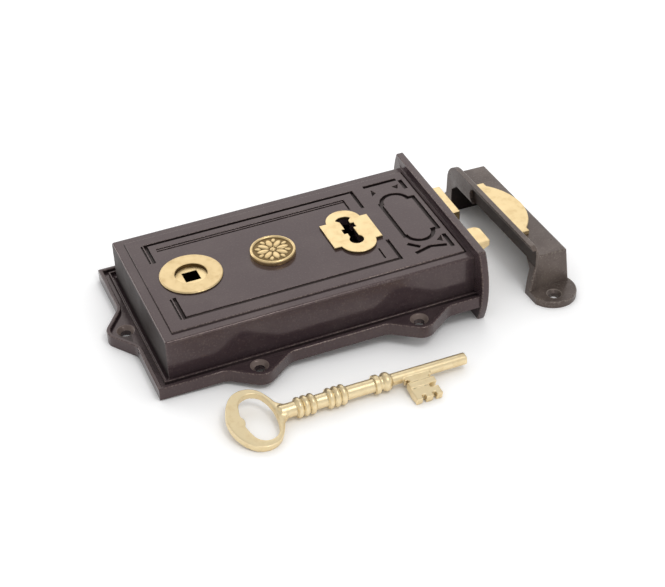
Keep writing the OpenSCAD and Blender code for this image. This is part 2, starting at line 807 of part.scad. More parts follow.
// Leaf from its post to the latch tail's toe, which it pushes towards the forend
module latch_spring() color(steel) {
    x0 = latch_post_x + post_r + seat_fit;
    x1 = arm_x0 - slide_gap;
    bend_y = latch_post_y + 7;
    tip_y = arm_y1 - 1.5;
    translate([0, 0, toe_z])
        linear_extrude(leaf_w)
            polygon([
                [x0, latch_post_y - 5], [x0 + leaf_t, latch_post_y - 5], [x0 + leaf_t, bend_y],
                [x1, tip_y], [x1 - leaf_t, tip_y + 0.6], [x0, bend_y + 0.5]
            ]);
}

// Post that the latch spring bears on
module latch_spring_post() color(steel)
    translate([latch_post_x, latch_post_y, cap_t]) cylinder(r = post_r, h = low_top - cap_t, $fn = 32);

// Shouldered stud that carries and guides the dead bolt's tail
module bolt_guide_stud() color(steel) translate([stud_x, stud_y, 0]) {
    translate([0, 0, cap_t]) cylinder(r = stud_head_r, h = low_top - cap_t, $fn = 32);
    translate([0, 0, low_top - eps]) cylinder(r = stud_r, h = tail_top - low_top + 2 * eps, $fn = 32);
    translate([0, 0, tail_top + slide_gap]) cylinder(r = stud_head_r, h = 1.5, $fn = 32);
}

// Leaf that snaps into the notches of the dead bolt's tail
module detent_spring() color(steel) {
    y0 = detent_post_y - post_r - leaf_t - seat_fit;
    nose_y = dead_tail_y1 - detent_d + 2 * slide_gap;
    heel_x = detent_post_x - detent_heel_l;
    bend_x = detent_x - detent_nose_l;
    translate([0, 0, tail_z + slide_gap])
        linear_extrude(tail_t - 2 * slide_gap)
            polygon([
                [heel_x, y0], [bend_x, y0], [detent_x - leaf_t / 2, nose_y],
                [detent_x + leaf_t / 2, nose_y], [bend_x + leaf_t / 2, y0 + leaf_t],
                [heel_x, y0 + leaf_t]
            ]);
}

// Post that the detent spring bears on
module detent_post() color(steel)
    translate([detent_post_x, detent_post_y, cap_t]) cylinder(r = post_r, h = tail_top - cap_t, $fn = 32);

// Curved ward that only a bit with its slot passes
module key_ward() color(steel) at_keyhole() translate([0, 0, cap_t]) difference() {
    gap = slot_flare_w + 2;
    cylinder(r = ward_r, h = ward_h);
    translate([0, 0, -eps]) cylinder(r = ward_r - ward_t, h = ward_h + 2 * eps);
    translate([-gap / 2, 0, -eps]) cube([gap, ward_r + eps, ward_h + 2 * eps]);
}

// Lock, moving pieces

// Hub with the square spindle hole and one horn
module follower() color(brass) translate([spindle_x, 0, 0]) difference() {
    hub_z = cap_t + slide_gap;
    neck_z = ceiling_z - slide_gap;
    face_z = panel_z + collar_h - neck_sink;
    union() {
        cylinder(r = foot_r, h = hub_z + eps);
        translate([0, 0, hub_z]) cylinder(r = hub_r, h = neck_z - hub_z);
        translate([0, 0, neck_z - eps]) cylinder(r = neck_r, h = face_z - neck_z + eps);
        translate([-horn_w / 2, -horn_reach, tail_z]) cube([horn_w, horn_reach, tail_t]);
    }
    translate([-spindle_sq / 2, -spindle_sq / 2, -eps]) cube([spindle_sq, spindle_sq, face_z + 2 * eps]);
}

// Spring bolt, bevelled on the door side, with a slot for its tail
module latch_head() color(brass) difference() {
    len = latch_x1 - latch_x0;
    bevel_x = forend_x1 + 1;
    translate([0, 0, bolt_z]) linear_extrude(bolt_t) {
        translate([latch_x0, latch_y0]) square([len - latch_corner_r, latch_w]);
        translate([latch_x0, latch_y0]) square([len, latch_w - latch_corner_r]);
        translate([latch_x1 - latch_corner_r, latch_y1 - latch_corner_r]) circle(r = latch_corner_r);
    }
    translate([0, latch_y1 + eps, 0])
        rotate([90, 0, 0])
            linear_extrude(latch_w + 2 * eps)
                polygon([
                    [bevel_x, bolt_z - eps], [latch_x1 + eps, bolt_z - eps],
                    [latch_x1 + eps, bolt_top - latch_nose], [latch_x1, bolt_top - latch_nose],
                    [bevel_x, bolt_z]
                ]);
    box_between(
        [latch_x0 - eps, latch_y0 - eps, tail_z - seat_fit],
        [riser_x1 + seat_fit, latch_y1 + eps, tail_top + seat_fit]
    );
    rivet_holes_at(latch_rivet_spots, bolt_z, bolt_top);
}

// Bar with the arm that the horn pushes, the spring's toe and the part in the head's slot
module latch_tail() color(steel) difference() {
    union() {
        translate([0, 0, tail_z]) linear_extrude(tail_t) {
            translate([arm_x0, bar_y0]) square([riser_x1 - arm_x0, latch_bar_w]);
            translate([arm_x0, bar_y0]) square([arm_w, arm_y1 - bar_y0]);
            translate([latch_x0, bar_y0]) square([riser_x1 - latch_x0, latch_y1 - bar_y0]);
        }
        box_between([arm_x0, arm_y1 - toe_l, toe_z], [arm_x1, arm_y1, tail_z + eps]);
    }
    rivet_holes_at(latch_rivet_spots, tail_z, tail_top);
}

module latch_rivets() color(brass) rivets_at(latch_rivet_spots, bolt_z, bolt_top);

// Plain rectangular bolt that the key throws, with a slot for its tail
module dead_bolt_head() color(brass) difference() {
    box_between([dead_x0, dead_y0, bolt_z], [dead_x1, dead_y1, bolt_top]);
    box_between(
        [dead_x0 - eps, dead_tail_y0 - seat_fit, tail_z - seat_fit],
        [dead_tail_x1 + seat_fit, dead_tail_y1 + seat_fit, tail_top + seat_fit]
    );
    rivet_holes_at(dead_rivet_spots, bolt_z, bolt_top);
}

// Tail with the talon notch, the stud's slot and the two detent notches
module dead_bolt_tail() color(steel) difference() {
    slot_r = stud_r + slide_gap;
    translate([0, 0, tail_z]) linear_extrude(tail_t) difference() {
        translate([dead_tail_x0, dead_tail_y0]) square([dead_tail_x1 - dead_tail_x0, dead_tail_w]);
        translate([talon_x - talon_w / 2, dead_tail_y0 - eps]) square([talon_w, talon_d + eps]);
        translate([stud_x, stud_y - slot_r]) square([dead_travel, 2 * slot_r]);
        for (x = [0, dead_travel]) {
            translate([stud_x + x, stud_y]) circle(r = slot_r, $fn = 32);
            translate([detent_x + x, dead_tail_y1])
                polygon([[-detent_w, eps], [detent_w, eps], [0, -detent_d]]);
        }
    }
    rivet_holes_at(dead_rivet_spots, tail_z, tail_top);
}

module dead_bolt_rivets() color(brass) rivets_at(dead_rivet_spots, bolt_z, bolt_top);

// Keep, in its own directions: away from the lock, along its length, up

module at_keep() {
    on_surface(keep_along, keep_across, keep_yaw) children();
}

// Bar along the keep with its section drawn away from the lock and up
module keep_prism(b0, b1) {
    translate([0, b1, 0]) rotate([90, 0, 0]) linear_extrude(b1 - b0) children();
}

// Slab across the keep with its outline drawn along and up
module lip_prism(a0, a1) {
    translate([a0, 0, 0]) rotate([90, 0, 90]) linear_extrude(a1 - a0) children();
}

// Plate with rounded upper corners
module lip_2d() {
    near_b = lip_r - lip_near;
    far_b = lip_b1 - lip_far_r;
    translate([-lip_near, 0]) square([far_b + lip_near, lip_h - lip_r]);
    translate([near_b, 0]) square([far_b - near_b, lip_h]);
    translate([far_b - eps, 0]) square([lip_far_r + eps, lip_h - lip_far_r]);
    translate([near_b, lip_h - lip_r]) circle(r = lip_r);
    translate([far_b, lip_h - lip_far_r]) circle(r = lip_far_r);
}

// Screw lug beyond an end of the box, drawn for the end at y = 0
module keep_lug_2d() intersection() {
    translate([keep_foot_w / 2, -2]) circle(r = keep_lug_r);
    translate([0, -keep_lug_r - 3]) square([keep_foot_w + 4, keep_lug_r + 3 + keep_wall]);
}

// One casting: lip plate, open-bottomed box and two lugs
module keep_box() color(iron) at_keep() difference() {
    mouth_b0 = keep_wall + 0.5;
    mouth_b1 = keep_l - keep_far_wall;
    union() {
        lip_prism(0, lip_t) lip_2d();
        keep_prism(0, keep_l)
            polygon([[0, 0], [keep_foot_w, 0], [keep_top_w, keep_h], [0, keep_h]]);
        linear_extrude(keep_lug_t) keep_lug_2d();
        linear_extrude(keep_lug_t) translate([0, keep_l]) mirror([0, 1]) keep_lug_2d();
    }
    keep_prism(keep_wall, mouth_b1)
        polygon([
            [lip_t, -eps], [keep_foot_w - keep_wall, -eps],
            [keep_top_w - keep_wall, keep_h - keep_wall], [lip_t, keep_h - keep_wall]
        ]);
    lip_prism(-eps, lip_t + eps)
        polygon([
            [mouth_b0, -eps], [mouth_b1, -eps],
            [mouth_b1, mouth_h - mouth_corner], [mouth_b1 - mouth_corner, mouth_h],
            [mouth_b0 + mouth_corner, mouth_h], [mouth_b0, mouth_h - mouth_corner]
        ]);
    lip_prism(-eps, scoop_d) {
        translate([scoop_b0, mouth_h - eps])
            square([scoop_b1 - scoop_h / 2 - scoop_b0, scoop_h + eps]);
        translate([scoop_b1 - scoop_h / 2, mouth_h + scoop_h / 2]) circle(r = scoop_h / 2, $fn = 32);
    }
    keep_prism(scoop_b0, mouth_b0 + mouth_corner + eps)
        polygon([[-eps, post_foot], [0, post_foot], [scoop_d, mouth_h], [-eps, mouth_h]]);
    for (b = [-keep_hole_d, keep_l + keep_hole_d])
        translate([keep_hole_a, b, 0]) countersunk_hole(keep_screw_r, keep_csk_r, keep_lug_t);
    rivet_holes_at([for (b = strike_rivet_bs) [strike_rivet_a, b]], keep_h - keep_wall, keep_h);
}

// Rubbing plate with a bowed edge and an ear at each end
module keep_strike() color(brass) at_keep() difference() {
    translate([0, 0, keep_h]) linear_extrude(strike_t) {
        translate([strike_a, strike_mid - strike_l / 2]) square([strike_ear_w, strike_l]);
        intersection() {
            translate([strike_a + strike_w - strike_r, strike_mid]) circle(r = strike_r, $fn = 128);
            translate([strike_a, strike_mid - strike_l / 2]) square([strike_w + eps, strike_l]);
        }
    }
    rivet_holes_at([for (b = strike_rivet_bs) [strike_rivet_a, b]], keep_h, keep_h + strike_t);
}

module strike_rivets() color(brass) at_keep()
    rivets_at([for (b = strike_rivet_bs) [strike_rivet_a, b]], keep_h - keep_wall, keep_h + strike_t);

// Key, lying on its collars and one side of its bow

// Half section of the turned length, drawn as radius and distance along the key's axis
module turned_2d() intersection() {
    union() {
        translate([0, neck_x]) square([bead_at, shank_x0 - neck_x]);
        for (x = [collar1_x, collar2_x])
            for (k = [0 : 2]) translate([bead_at, x + k * bead_pitch]) circle(r = bead_r, $fn = 24);
        translate([0, shank_x0 - eps]) square([shank_r, barrel_x - shank_x0]);
        translate([0, shank_x1]) square([disc_r, disc_l]);
        translate([disc_r - barrel_l / 2, barrel_x]) circle(r = barrel_l / 2, $fn = 32);
        translate([0, barrel_x]) square([pin_r, key_l - barrel_x]);
    }
    square([2 * ring_r, key_l]);
}

// Oval about the origin from two narrow end arcs and two wide side arcs. The side arcs lie a hair
// inside tangent, so that they cross the end arcs.
module oval_2d(half_x, half_y, end_r) {
    bite = 0.05;
    end_y = half_y - end_r;
    side_r = (half_x * half_x + end_y * end_y - end_r * end_r) / (2 * (half_x - end_r));
    side_x = side_r - half_x + bite;
    meet_y = side_r * end_y / (side_r - end_r);
    for (s = [-1, 1]) translate([0, s * end_y]) circle(r = end_r);
    intersection() {
        translate([-side_x, 0]) circle(r = side_r, $fn = 128);
        translate([side_x, 0]) circle(r = side_r, $fn = 128);
        translate([-half_x, -meet_y]) square([2 * half_x, 2 * meet_y]);
    }
}

// Oval ring, thicker at its outer end, where a small lobe stands into the hole, with a yoke at the neck
module bow_2d() difference() {
    union() {
        translate([bow_l / 2, 0]) oval_2d(bow_l / 2, bow_w / 2, bow_end_r);
        polygon([[neck_x, -yoke_half], [yoke_x1, -bead_at], [yoke_x1, bead_at], [neck_x, yoke_half]]);
    }
    difference() {
        translate([bow_end_w + hole_l / 2, 0]) oval_2d(hole_l / 2, hole_half_w, hole_end_r);
        translate([bow_lobe_x, 0]) circle(r = bow_lobe_r, $fn = 32);
    }
}

// Flat bit with a rib on each face for the keyhole's notches, the slot for the ward, small steps by the
// pin and notches in its outer edge
module bit() difference() {
    slot_d = ward_h + 2;
    rib_z = bit_t / 2 + rib_t;
    union() {
        box_between([bit_x0, -bit_reach, -bit_t / 2], [bit_x1, 0, bit_t / 2]);
        box_between([bit_x0, slide_gap - notch_near - notch_l, 0], [bit_x1, -notch_near - slide_gap, rib_z]);
        box_between([bit_x0, slide_gap - notch_far - notch_l, -rib_z], [bit_x1, -notch_far - slide_gap, 0]);
    }
    box_between(
        [bit_x1 - slot_d, -ward_r - 0.4, -bit_t],
        [bit_x1 + eps, ward_t - ward_r + 0.4, bit_t]
    );
    for (x = [0.24, 0.64])
        translate([bit_x0 + bit_w * x, -bit_reach - eps, -bit_t]) cube([2, 2.4 + eps, 2 * bit_t]);
    for (x = [bit_x0 - eps, bit_x1 - 2]) translate([x, -pin_r - 3, -bit_t]) cube([2 + eps, 1.6, 2 * bit_t]);
}

module key() color(brass) on_surface(key_along, -half_w - key_gap, key_yaw)
    translate([0, 0, ring_r]) rotate([key_roll, 0, 0]) {
        translate([0, 0, -bow_t / 2]) linear_extrude(bow_t) bow_2d();
        rotate([0, 90, 0]) rotate_extrude() turned_2d();
        bit();
    }

lock_case();
cap_plate();
cap_screws();
spindle_collar();
back_bush();
follower();
medallion();
escutcheon();
latch_head();
latch_tail();
latch_rivets();
latch_guide();
latch_spring();
latch_spring_post();
dead_bolt_head();
dead_bolt_tail();
dead_bolt_rivets();
bolt_guide_stud();
detent_spring();
detent_post();
key_ward();
keep_box();
keep_strike();
strike_rivets();
key();
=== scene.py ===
import math
import bpy
import bmesh
from mathutils import Matrix, Vector


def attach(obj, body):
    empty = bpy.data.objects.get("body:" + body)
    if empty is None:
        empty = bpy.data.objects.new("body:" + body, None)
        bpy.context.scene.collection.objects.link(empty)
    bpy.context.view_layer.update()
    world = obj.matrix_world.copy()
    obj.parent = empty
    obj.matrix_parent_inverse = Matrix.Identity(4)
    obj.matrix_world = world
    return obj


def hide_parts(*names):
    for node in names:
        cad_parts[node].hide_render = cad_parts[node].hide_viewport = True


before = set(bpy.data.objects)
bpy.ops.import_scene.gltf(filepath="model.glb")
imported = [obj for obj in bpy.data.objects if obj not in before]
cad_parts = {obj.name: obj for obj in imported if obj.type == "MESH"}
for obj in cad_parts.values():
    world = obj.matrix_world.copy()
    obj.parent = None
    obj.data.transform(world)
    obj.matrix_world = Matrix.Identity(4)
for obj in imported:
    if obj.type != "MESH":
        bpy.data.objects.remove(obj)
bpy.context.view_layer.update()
scene = bpy.context.scene
scene.view_settings.view_transform = "Standard"
mm = 0.001
print("frame loaded:", len(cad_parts), "solids")


def hexLinear(code):
    channels = [int(code[i:i + 2], 16) / 255 for i in (1, 3, 5)]
    return [c / 12.92 if c <= 0.04045 else ((c + 0.055) / 1.055) ** 2.4 for c in channels] + [1.0]


def addNode(tree, kind, settings=None, values=None, links=None):
    node = tree.nodes.new(kind)
    for name, value in (settings or {}).items():
        setattr(node, name, value)
    for socket, value in (values or {}).items():
        node.inputs[socket].default_value = value
    for socket, source in (links or {}).items():
        tree.links.new(source, node.inputs[socket])
    return node


def newMaterial(name):
    material = bpy.data.materials.new(name)
    material.use_nodes = True
    material.node_tree.nodes.clear()
    return material, material.node_tree


def linkPiece(mesh, name, material):
    piece = bpy.data.objects.new(name, mesh)
    scene.collection.objects.link(piece)
    mesh.materials.clear()
    mesh.materials.append(material)
    return piece


def applyModifiers(piece):
    bpy.context.view_layer.update()
    mesh = bpy.data.meshes.new_from_object(piece.evaluated_get(bpy.context.evaluated_depsgraph_get()))
    piece.modifiers.clear()
    piece.data = mesh


# materials: sizes in mm; the iron's grain, the brass scratches and the steel's lines are drawn coarser, to show
noiseSpan = (0.3, 0.7)  # nearly all of a noise lies between these

# cast iron under dark brown lacquer: smooth glossy skin; edges lighter, partly worn and partly painted highlight;
# grooves, channels, hollows and sides away from the light darkened as painted shade
castIron = {
    "lacquer": "#403437", "thin": "#4F4444", "edge": "#8F8077", "shadeAndPatina": "#0D0A0A", "warmth": "#FFE9E2",
    "ior": 1.52, "roughness": (0.10, 0.20), "dulled": 0.4,
    "grainMm": 1.1, "waveMm": 9.0, "patchMm": 24.0, "waveShare": 0.4, "bumpMm": 0.09, "bumpStrength": 0.6,
    "thinSpan": (0.45, 0.75), "thinShare": 0.7, "fleckSpan": (0.54, 0.72), "flecks": 0.10,
    "brokenSpan": (0.42, 0.62), "bareFrom": 0.5,
}
# the keep's coat is thinner and duller, and the sand shows through it
roughCast = {
    **castIron, "lacquer": "#4F4641", "thin": "#766B63", "edge": "#928980",
    "roughness": (0.26, 0.42), "grainMm": 1.0, "bumpMm": 0.18, "flecks": 0.32,
}


def makeCastIron(s, name):
    material, t = newMaterial(name)
    place = addNode(t, "ShaderNodeTexCoord")
    grain = addNode(t, "ShaderNodeTexNoise",
                    values={"Scale": 1 / (s["grainMm"] * mm), "Detail": 3.0, "Roughness": 0.55},
                    links={"Vector": place.outputs["Object"]})
    wave = addNode(t, "ShaderNodeTexNoise", values={"Scale": 1 / (s["waveMm"] * mm), "Detail": 2.0},
                   links={"Vector": place.outputs["Object"]})
    patch = addNode(t, "ShaderNodeTexNoise",
                    values={"Scale": 1 / (s["patchMm"] * mm), "Detail": 4.0, "Roughness": 0.6},
                    links={"Vector": place.outputs["Object"]})
    thin = addNode(t, "ShaderNodeMapRange",
                   values={"From Min": s["thinSpan"][0], "From Max": s["thinSpan"][1], "To Max": s["thinShare"]},
                   links={"Value": patch.outputs["Fac"]})
    body = addNode(t, "ShaderNodeMix", settings={"data_type": "RGBA"},
                   values={6: hexLinear(s["lacquer"]), 7: hexLinear(s["thin"])}, links={0: thin.outputs["Result"]})
    fleck = addNode(t, "ShaderNodeMapRange",
                    values={"From Min": s["fleckSpan"][0], "From Max": s["fleckSpan"][1], "To Max": s["flecks"]},
                    links={"Value": grain.outputs["Fac"]})
    flecked = addNode(t, "ShaderNodeMix", settings={"data_type": "RGBA"}, values={7: hexLinear(s["edge"])},
                      links={0: fleck.outputs["Result"], 6: body.outputs[2]})
    # edges are lighter in broken flecks, partly worn and partly painted highlight, and bare all over where the mark is
    # strong
    wearAndHighlight = addNode(t, "ShaderNodeAttribute", settings={"attribute_name": "edgeWearAndHighlight"})
    broken = addNode(t, "ShaderNodeMapRange",
                     values={"From Min": s["brokenSpan"][0], "From Max": s["brokenSpan"][1]},
                     links={"Value": grain.outputs["Fac"]})
    bare = addNode(t, "ShaderNodeMath", settings={"operation": "GREATER_THAN"}, values={1: s["bareFrom"]},
                   links={0: wearAndHighlight.outputs["Fac"]})
    spread = addNode(t, "ShaderNodeMath", settings={"operation": "MAXIMUM"},
                     links={0: broken.outputs["Result"], 1: bare.outputs["Value"]})
    lightening = addNode(t, "ShaderNodeMath", settings={"operation": "MULTIPLY"},
                     links={0: wearAndHighlight.outputs["Fac"], 1: spread.outputs["Value"]})
    worn = addNode(t, "ShaderNodeMix", settings={"data_type": "RGBA"}, values={7: hexLinear(s["edge"])},
                   links={0: lightening.outputs["Value"], 6: flecked.outputs[2]})
    # painted shade: marked faces are mixed toward the near-black colour and made duller
    hollow = addNode(t, "ShaderNodeAttribute", settings={"attribute_name": "shadeAndPatina"})
    colour = addNode(t, "ShaderNodeMix", settings={"data_type": "RGBA"}, values={7: hexLinear(s["shadeAndPatina"])},
                     links={0: hollow.outputs["Fac"], 6: worn.outputs[2]})
    gloss = addNode(t, "ShaderNodeMapRange",
                    values={"From Min": noiseSpan[0], "From Max": noiseSpan[1],
                            "To Min": s["roughness"][0], "To Max": s["roughness"][1]},
                    links={"Value": wave.outputs["Fac"]})
    dull = addNode(t, "ShaderNodeMath", settings={"operation": "MULTIPLY_ADD"}, values={1: s["dulled"]},
                   links={0: hollow.outputs["Fac"], 2: gloss.outputs["Result"]})
    skin = addNode(t, "ShaderNodeMix", values={"Factor": s["waveShare"]},
                   links={2: grain.outputs["Fac"], 3: wave.outputs["Fac"]})
    bump = addNode(t, "ShaderNodeBump", values={"Strength": s["bumpStrength"], "Distance": s["bumpMm"] * mm},
                   links={"Height": skin.outputs[0]})
    shader = addNode(t, "ShaderNodeBsdfPrincipled",
                     values={"IOR": s["ior"], "Specular Tint": hexLinear(s["warmth"])},
                     links={"Base Color": colour.outputs[2], "Roughness": dull.outputs["Value"],
                            "Normal": bump.outputs["Normal"]})
    addNode(t, "ShaderNodeOutputMaterial", links={"Surface": shader.outputs["BSDF"]})
    return material


# satin brass: pale yellow metal, lightly brushed, with faint warm tarnish clouds
satinBrass = {
    # the crease colour is painted shade on walls, bores and creases
    "metal": "#E8D0A0", "tarnish": "#D3B582", "creases": "#3A2912", "roughness": (0.34, 0.48),
    "cloudMm": 5.0, "stainSpan": (0.5, 0.85), "stainShare": 0.7,
    "scratchMm": 0.5, "bumpMm": 0.08, "bumpStrength": 0.4,
}


def makeBrass(s, name):
    material, t = newMaterial(name)
    place = addNode(t, "ShaderNodeTexCoord")
    cloud = addNode(t, "ShaderNodeTexNoise",
                    values={"Scale": 1 / (s["cloudMm"] * mm), "Detail": 5.0, "Roughness": 0.6},
                    links={"Vector": place.outputs["Object"]})
    scratch = addNode(t, "ShaderNodeTexNoise", values={"Scale": 1 / (s["scratchMm"] * mm), "Detail": 2.0},
                      links={"Vector": place.outputs["Object"]})
    stain = addNode(t, "ShaderNodeMapRange",
                    values={"From Min": s["stainSpan"][0], "From Max": s["stainSpan"][1], "To Max": s["stainShare"]},
                    links={"Value": cloud.outputs["Fac"]})
    clouded = addNode(t, "ShaderNodeMix", settings={"data_type": "RGBA"},
                      values={6: hexLinear(s["metal"]), 7: hexLinear(s["tarnish"])},
                      links={0: stain.outputs["Result"]})
    # painted shade from the marked faces; on the medallion the same mix lays its patina
    hollow = addNode(t, "ShaderNodeAttribute", settings={"attribute_name": "shadeAndPatina"})
    colour = addNode(t, "ShaderNodeMix", settings={"data_type": "RGBA"}, values={7: hexLinear(s["creases"])},
                     links={0: hollow.outputs["Fac"], 6: clouded.outputs[2]})
    gloss = addNode(t, "ShaderNodeMapRange",
                    values={"From Min": noiseSpan[0], "From Max": noiseSpan[1],
                            "To Min": s["roughness"][0], "To Max": s["roughness"][1]},
                    links={"Value": cloud.outputs["Fac"]})
    bump = addNode(t, "ShaderNodeBump", values={"Strength": s["bumpStrength"], "Distance": s["bumpMm"] * mm},
                   links={"Height": scratch.outputs["Fac"]})
    shader = addNode(t, "ShaderNodeBsdfPrincipled", values={"Metallic": 1.0},
                     links={"Base Color": colour.outputs[2], "Roughness": gloss.outputs["Result"],
                            "Normal": bump.outputs["Normal"]})
    addNode(t, "ShaderNodeOutputMaterial", links={"Surface": shader.outputs["BSDF"]})
    return material


# plain rolled steel: grey metal with fine drawn lines along X and oily patches
rolledSteel = {
    "metal": "#A9A9A8", "oil": "#77736C", "roughness": (0.32, 0.48), "patchMm": 12.0,
    "oilSpan": (0.45, 0.75), "oilShare": 0.7, "lineMm": 0.35, "drawnOut": 0.04, "bumpMm": 0.02, "bumpStrength": 0.25,
}


def makeSteel(s):
    material, t = newMaterial("rolledSteel")
    place = addNode(t, "ShaderNodeTexCoord")
    drawn = addNode(t, "ShaderNodeMapping", values={"Scale": (s["drawnOut"], 1.0, 1.0)},
                    links={"Vector": place.outputs["Object"]})
    lines = addNode(t, "ShaderNodeTexNoise", values={"Scale": 1 / (s["lineMm"] * mm), "Detail": 2.0},
                    links={"Vector": drawn.outputs["Vector"]})
    patch = addNode(t, "ShaderNodeTexNoise", values={"Scale": 1 / (s["patchMm"] * mm), "Detail": 4.0},
                    links={"Vector": place.outputs["Object"]})
    oily = addNode(t, "ShaderNodeMapRange",
                   values={"From Min": s["oilSpan"][0], "From Max": s["oilSpan"][1], "To Max": s["oilShare"]},
                   links={"Value": patch.outputs["Fac"]})
    colour = addNode(t, "ShaderNodeMix", settings={"data_type": "RGBA"},
                     values={6: hexLinear(s["metal"]), 7: hexLinear(s["oil"])}, links={0: oily.outputs["Result"]})
    gloss = addNode(t, "ShaderNodeMapRange",
                    values={"From Min": noiseSpan[0], "From Max": noiseSpan[1],
                            "To Min": s["roughness"][0], "To Max": s["roughness"][1]},
                    links={"Value": patch.outputs["Fac"]})
    bump = addNode(t, "ShaderNodeBump", values={"Strength": s["bumpStrength"], "Distance": s["bumpMm"] * mm},
                   links={"Height": lines.outputs["Fac"]})
    shader = addNode(t, "ShaderNodeBsdfPrincipled", values={"Metallic": 1.0},
                     links={"Base Color": colour.outputs[2], "Roughness": gloss.outputs["Result"],
                            "Normal": bump.outputs["Normal"]})
    addNode(t, "ShaderNodeOutputMaterial", links={"Surface": shader.outputs["BSDF"]})
    return material


iron = makeCastIron(castIron, "lacqueredCastIron")
keepIron = makeCastIron(roughCast, "roughCastIron")
brass = makeBrass(satinBrass, "satinBrass")
# turned brass, a shade deeper than the flat plates
turnedBrass = makeBrass({**satinBrass, "metal": "#DAC294", "tarnish": "#C5A876"}, "turnedBrass")
# pale cast brass, brighter from handling
paleBrass = makeBrass({**satinBrass, "metal": "#F0DDB4", "tarnish": "#DAC090"}, "paleBrass")
# antiqued brass, with a brown patina left in its hollows
agedBrass = makeBrass({**satinBrass, "metal": "#E6CC9A", "tarnish": "#C9A872", "creases": "#57421F"}, "antiquedBrass")
steel = makeSteel(rolledSteel)
print("materials made")

# the surface leans under the lock, and the keep and key lie on it
rest = {"pivotX": -105.6, "reach": 196.4, "drop": 10.4, "keepGap": 31.4, "keepAcross": -45, "keepTurn": 2.4}
lean = math.atan2(rest["drop"], rest["reach"])
surface = Matrix.Translation((rest["pivotX"], 0, 0)) @ Matrix.Rotation(lean, 4, "Y")
keepAlong = rest["reach"] / math.cos(lean) + rest["keepGap"]
keepPlace = (surface @ Matrix.Translation((keepAlong, rest["keepAcross"], 0))
             @ Matrix.Rotation(math.radians(rest["keepTurn"]), 4, "Z"))

# softened copies of solids: merge in mm, the turn of a sharp edge in radians, the other angles in degrees
softening = {"merge": 0.002, "flat": 0.5, "sharpTurn": 0.4, "bent": 20, "crease": 38}
slack = 0.1  # mm of room in tests of place
facing = 0.9  # cosine from which a face looks straight along an axis


def near(value, target, within=0.06):
    return abs(value - target) < within


def level(a, b, height):
    return near(a.z, height) and near(b.z, height)


def softCopy(node, name, material, eases, place=None, hollow=None, lightening=None):
    # merged copy of a solid with its sharp edges eased in passes: (pick, width mm, segments, share of lighter edge,
    # partly worn and partly painted highlight)
    toLocal = (place or Matrix.Identity(4)).inverted()
    bm = bmesh.new()
    bm.from_mesh(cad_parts[node].data)
    bmesh.ops.remove_doubles(bm, verts=bm.verts, dist=softening["merge"] * mm)
    bmesh.ops.dissolve_limit(bm, angle_limit=math.radians(softening["flat"]), verts=bm.verts, edges=bm.edges)
    wearAndHighlight = bm.faces.layers.float.new("edgeWearAndHighlight")
    for pick, width, segments, amount in eases:
        chosen = []
        for e in bm.edges:
            if len(e.link_faces) != 2:
                continue
            a, b = (toLocal @ (v.co / mm) for v in e.verts)
            if e.calc_face_angle_signed(0.0) > softening["sharpTurn"] and pick(a, b):
                chosen.append(e)
        made = bmesh.ops.bevel(bm, geom=chosen, offset=width * mm, offset_type="OFFSET", segments=segments,
                               profile=0.5, affect="EDGES", clamp_overlap=False, loop_slide=False)
        for f in made["faces"]:
            f[wearAndHighlight] = amount
        print("  ", name, "eased", len(chosen), "edges by", width)
    bmesh.ops.connect_verts_nonplanar(bm, angle_limit=math.radians(softening["bent"]), faces=bm.faces)
    if lightening:  # bare faces, as in the screw holes
        for f in bm.faces:
            centre, normal = toLocal @ (f.calc_center_median() / mm), toLocal.to_3x3() @ f.normal
            f[wearAndHighlight] = max(f[wearAndHighlight], lightening(centre, normal))
    if hollow:  # painted shade darkens these faces
        shadeAndPatina = bm.faces.layers.float.new("shadeAndPatina")
        for f in bm.faces:
            centre, normal = toLocal @ (f.calc_center_median() / mm), toLocal.to_3x3() @ f.normal
            f[shadeAndPatina] = hollow(centre, normal)
    mesh = bpy.data.meshes.new(name)
    bm.to_mesh(mesh)
    bm.free()
    mesh.shade_smooth()
    mesh.set_sharp_from_angle(angle=math.radians(softening["crease"]))
    piece = linkPiece(mesh, name, material)
    piece.modifiers.new("faceWeighted", "WEIGHTED_NORMAL").keep_sharp = True
    applyModifiers(piece)
    return piece


def stands(piece, body, slot, *nodes):
    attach(piece, body)
    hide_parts(*nodes)


# lock case, edges softened as a casting's are: places in mm, eases as (width, segments, share of lighter edge, partly
# worn and partly painted highlight), shares from 0 to 1
case = {
    "halfL": 86.5, "halfW": 48.0, "top": 28.7, "panel": 29.6, "channel": 84.9, "rim": 7.1, "ridge": 6.9,
    "cornerFrom": 20, "boltsHalfW": 34, "boltsLow": 8, "boltsHigh": 21,
    "panelLeft": -81.0, "panelRight": 84.0, "panelHalfW": 42.5, "nearStep": -42.0,
    "grooveLow": 27.5, "grooveHigh": 29.4, "flangeTop": 4.9, "wallLean": 0.1, "lugTop": 5.1, "screwSlope": (0.4, 0.9),
    "outerEase": (1.3, 4, 0.1), "forendEase": (0.8, 3, 0.3), "nearStepEase": (0.75, 2, 0.48),
    "stepEase": (0.5, 2, 0.3), "grooveEase": (0.24, 2, 0.3), "rimEase": (0.5, 2, 0.35), "ridgeEase": (0.25, 2, 0.4),
    "grooveShade": 0.85, "leftWallShade": 0.95, "flangeShade": 0.5, "screwBare": 0.55,
}


def onBox(a, b):
    alongSide = near(abs(a.y), case["halfW"]) and near(a.y, b.y)
    atLeft = near(a.x, -case["halfL"]) and near(b.x, -case["halfL"])
    if level(a, b, case["top"]):
        return alongSide or atLeft
    return alongSide and atLeft and max(a.z, b.z) > case["cornerFrom"]


